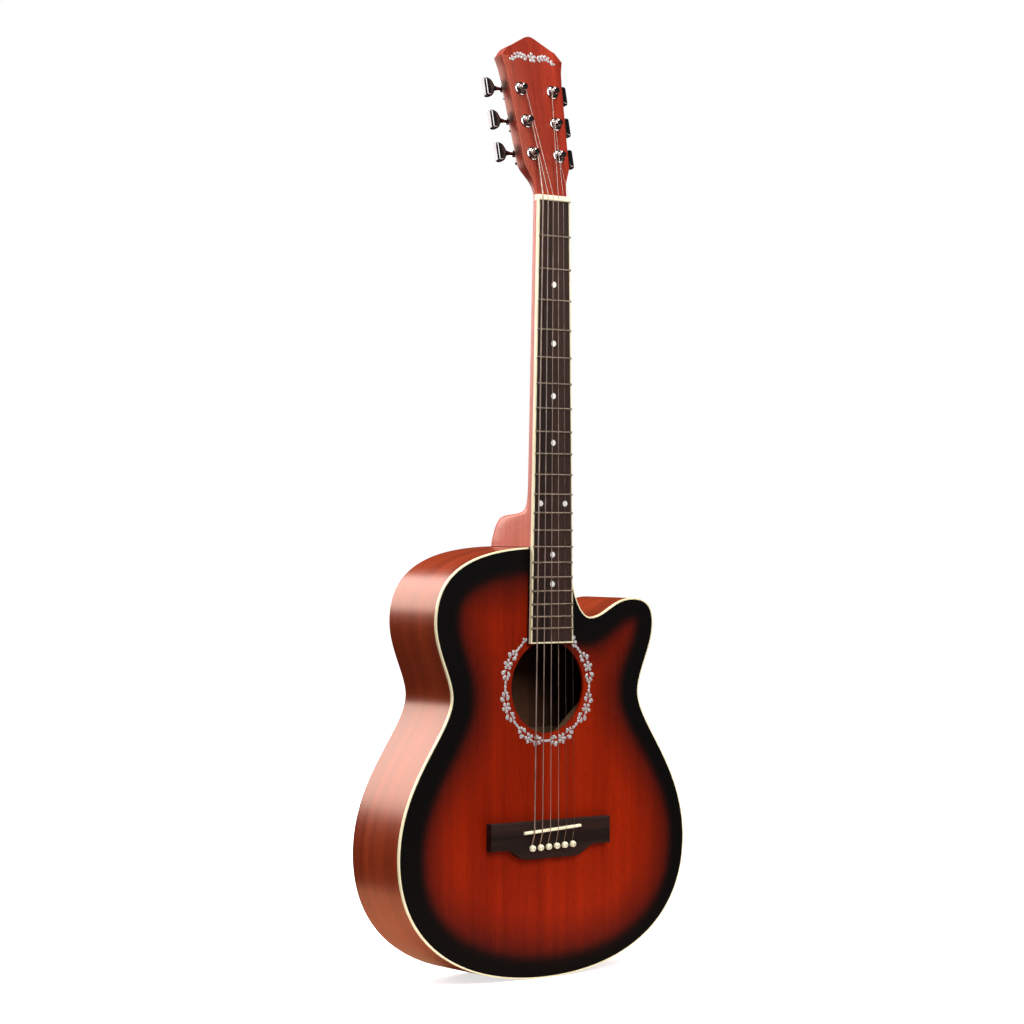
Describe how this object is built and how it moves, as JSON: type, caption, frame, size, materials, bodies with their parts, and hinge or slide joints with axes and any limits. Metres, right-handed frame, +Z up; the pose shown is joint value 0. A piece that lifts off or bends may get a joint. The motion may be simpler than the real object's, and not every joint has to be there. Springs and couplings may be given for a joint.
{
  "type": "acoustic guitar",
  "caption": "Cutaway steel-string acoustic guitar with a braced wooden body, a tilted headstock and geared tuning machines that turn.",
  "frame": {"origin": "middle of the overall width and depth, at the tail of the body", "axes": "+Z up the neck towards the headstock, +X towards the treble (cutaway) side, -Y out of the soundboard towards the player's audience, +Y out of the back"},
  "size_m": [0.376, 0.0934, 0.9727],
  "materials": {
    "top_wood": "stained mahogany face with a black sunburst edge, satin lacquer",
    "side_wood": "red-brown stained mahogany, satin lacquer",
    "neck_wood": "red-brown stained mahogany, satin lacquer",
    "head_wood": "red stained mahogany, satin lacquer",
    "pale_wood": "bare spruce",
    "block_wood": "bare mahogany",
    "dark_wood": "dark rosewood, oiled",
    "cream_plastic": "cream plastic",
    "pearl": "pearl",
    "fret_metal": "nickel silver",
    "steel": "plain steel",
    "brass": "brass",
    "bronze_string": "bronze wound string",
    "steel_string": "plain steel string",
    "smoky_chrome": "dark polished chrome",
    "chrome": "polished chrome"
  },
  "bodies": {
    "root": {"soundboard": "top_wood", "rosette": "pearl", "top_binding": "cream_plastic", "side_bass": "side_wood", "side_treble": "side_wood", "back": "side_wood", "top_linings": "pale_wood", "back_linings": "pale_wood", "neck_block": "block_wood", "tail_block": "block_wood", "x_brace_bass": "pale_wood", "x_brace_treble": "pale_wood", "transverse_brace": "pale_wood", "tone_bars": "pale_wood", "finger_braces": "pale_wood", "back_braces": "pale_wood", "back_strip": "pale_wood", "bridge_plate": "block_wood", "bridge": "dark_wood", "saddle": "cream_plastic", "bridge_pins": "cream_plastic", "neck": "neck_wood", "headstock": "head_wood", "fretboard": "dark_wood", "fretboard_binding": "cream_plastic", "frets": "fret_metal", "position_dots": "pearl", "nut": "cream_plastic", "truss_rod": "steel", "wound_strings": "bronze_string", "plain_strings": "steel_string", "ball_ends": "brass", "tuner_housings": "smoky_chrome", "tuner_bushings": "chrome", "tuner_screws": "chrome"},
    "button_1": {"button_1": "smoky_chrome", "worm_1": "steel"},
    "post_1": {"post_1": "chrome", "gear_1": "brass"},
    "button_2": {"button_2": "smoky_chrome", "worm_2": "steel"},
    "post_2": {"post_2": "chrome", "gear_2": "brass"},
    "button_3": {"button_3": "smoky_chrome", "worm_3": "steel"},
    "post_3": {"post_3": "chrome", "gear_3": "brass"},
    "button_4": {"button_4": "smoky_chrome", "worm_4": "steel"},
    "post_4": {"post_4": "chrome", "gear_4": "brass"},
    "button_5": {"button_5": "smoky_chrome", "worm_5": "steel"},
    "post_5": {"post_5": "chrome", "gear_5": "brass"},
    "button_6": {"button_6": "smoky_chrome", "worm_6": "steel"},
    "post_6": {"post_6": "chrome", "gear_6": "brass"},
    "truss_rod_nut": {"truss_rod_nut": "brass"}
  },
  "joints": [
    {"name": "button_1_turn", "type": "hinge", "parent": "root", "child": "button_1", "pos_m": [-0.0174, -0.00638, 0.84752], "axis": [1, 0, 0], "continuous": true},
    {"name": "post_1_turn", "type": "hinge", "parent": "root", "child": "post_1", "pos_m": [-0.0174, -0.02543, 0.84679], "axis": [0, -0.9744, 0.225], "continuous": true},
    {"name": "button_2_turn", "type": "hinge", "parent": "root", "child": "button_2", "pos_m": [-0.0192, 0.00149, 0.88162], "axis": [1, 0, 0], "continuous": true},
    {"name": "post_2_turn", "type": "hinge", "parent": "root", "child": "post_2", "pos_m": [-0.0192, -0.01756, 0.88089], "axis": [0, -0.9744, 0.225], "continuous": true},
    {"name": "button_3_turn", "type": "hinge", "parent": "root", "child": "button_3", "pos_m": [-0.021, 0.00937, 0.91572], "axis": [1, 0, 0], "continuous": true},
    {"name": "post_3_turn", "type": "hinge", "parent": "root", "child": "post_3", "pos_m": [-0.021, -0.00969, 0.91499], "axis": [0, -0.9744, 0.225], "continuous": true},
    {"name": "button_4_turn", "type": "hinge", "parent": "root", "child": "button_4", "pos_m": [0.021, 0.00937, 0.91572], "axis": [1, 0, 0], "continuous": true},
    {"name": "post_4_turn", "type": "hinge", "parent": "root", "child": "post_4", "pos_m": [0.021, -0.00969, 0.91499], "axis": [0, -0.9744, 0.225], "continuous": true},
    {"name": "button_5_turn", "type": "hinge", "parent": "root", "child": "button_5", "pos_m": [0.0192, 0.00149, 0.88162], "axis": [1, 0, 0], "continuous": true},
    {"name": "post_5_turn", "type": "hinge", "parent": "root", "child": "post_5", "pos_m": [0.0192, -0.01756, 0.88089], "axis": [0, -0.9744, 0.225], "continuous": true},
    {"name": "button_6_turn", "type": "hinge", "parent": "root", "child": "button_6", "pos_m": [0.0174, -0.00638, 0.84752], "axis": [1, 0, 0], "continuous": true},
    {"name": "post_6_turn", "type": "hinge", "parent": "root", "child": "post_6", "pos_m": [0.0174, -0.02543, 0.84679], "axis": [0, -0.9744, 0.225], "continuous": true},
    {"name": "truss_rod_nut_turn", "type": "hinge", "parent": "root", "child": "truss_rod_nut", "pos_m": [0, -0.02583, 0.411], "axis": [0, 0, 1], "range_deg": [-180, 180]}
  ],
  "couplings": [
    {"joint": "post_1_turn", "follows": "button_1_turn", "ratio": 0.071429},
    {"joint": "post_2_turn", "follows": "button_2_turn", "ratio": 0.071429},
    {"joint": "post_3_turn", "follows": "button_3_turn", "ratio": 0.071429},
    {"joint": "post_4_turn", "follows": "button_4_turn", "ratio": -0.071429},
    {"joint": "post_5_turn", "follows": "button_5_turn", "ratio": -0.071429},
    {"joint": "post_6_turn", "follows": "button_6_turn", "ratio": -0.071429}
  ]
}
